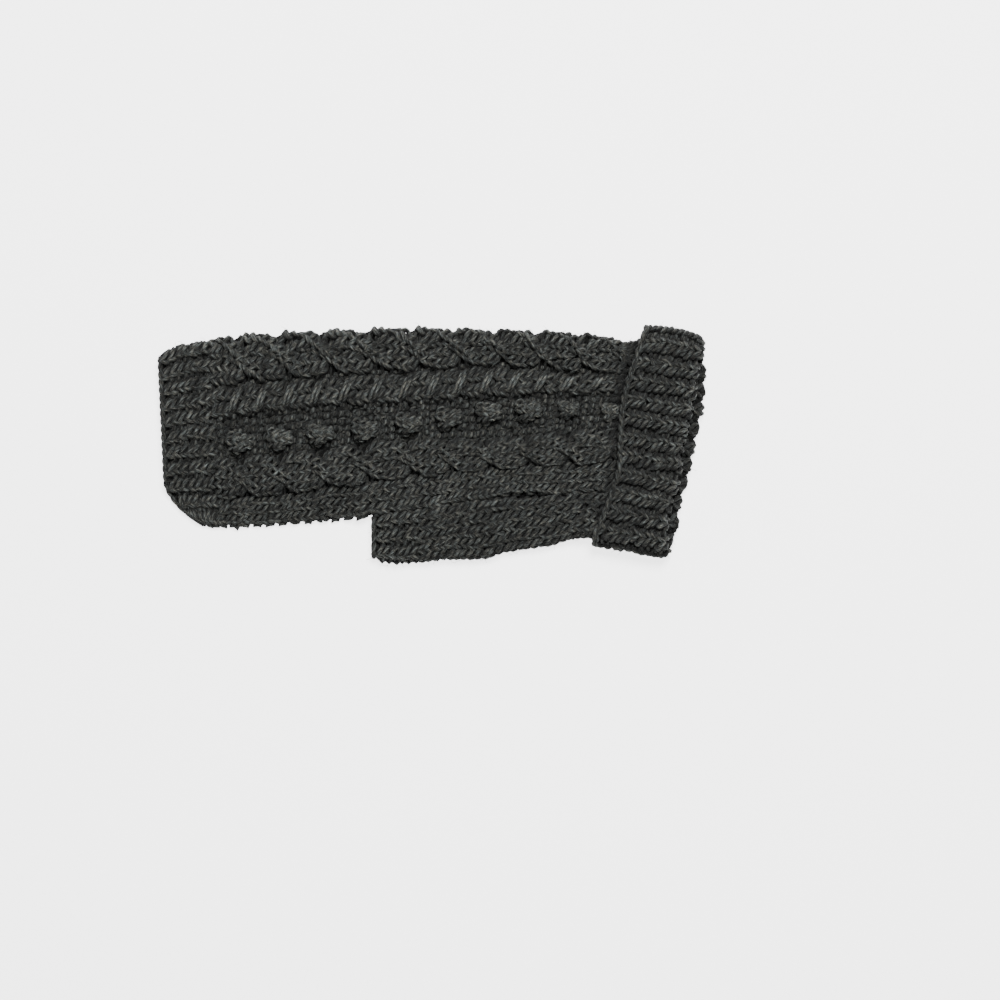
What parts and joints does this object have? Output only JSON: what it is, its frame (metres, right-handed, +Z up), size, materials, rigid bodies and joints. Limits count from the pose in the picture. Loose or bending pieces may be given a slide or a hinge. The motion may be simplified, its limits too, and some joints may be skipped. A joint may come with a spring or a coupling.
{
  "type": "dog sweater",
  "caption": "Hand-knitted roll-neck sweater for a small dog, laid flat on its side, with cables, bobbles, ribbed hems and leg slits.",
  "frame": {"origin": "on the surface the sweater lies on, under the middle of its bounding box", "axes": "+X from the tail hem to the neck, +Y from the belly fold to the spine fold, +Z up from the surface"},
  "size_m": [0.3451, 0.1491, 0.016],
  "materials": {
    "body_wool": "charcoal plied wool, cable knit, matt with a soft fuzz",
    "rib_wool": "charcoal plied wool, 1x1 rib, matt with a soft fuzz"
  },
  "bodies": {
    "root": {"back_panel": "body_wool", "belly_panel": "body_wool", "roll_neck": "rib_wool"}
  },
  "joints": []
}
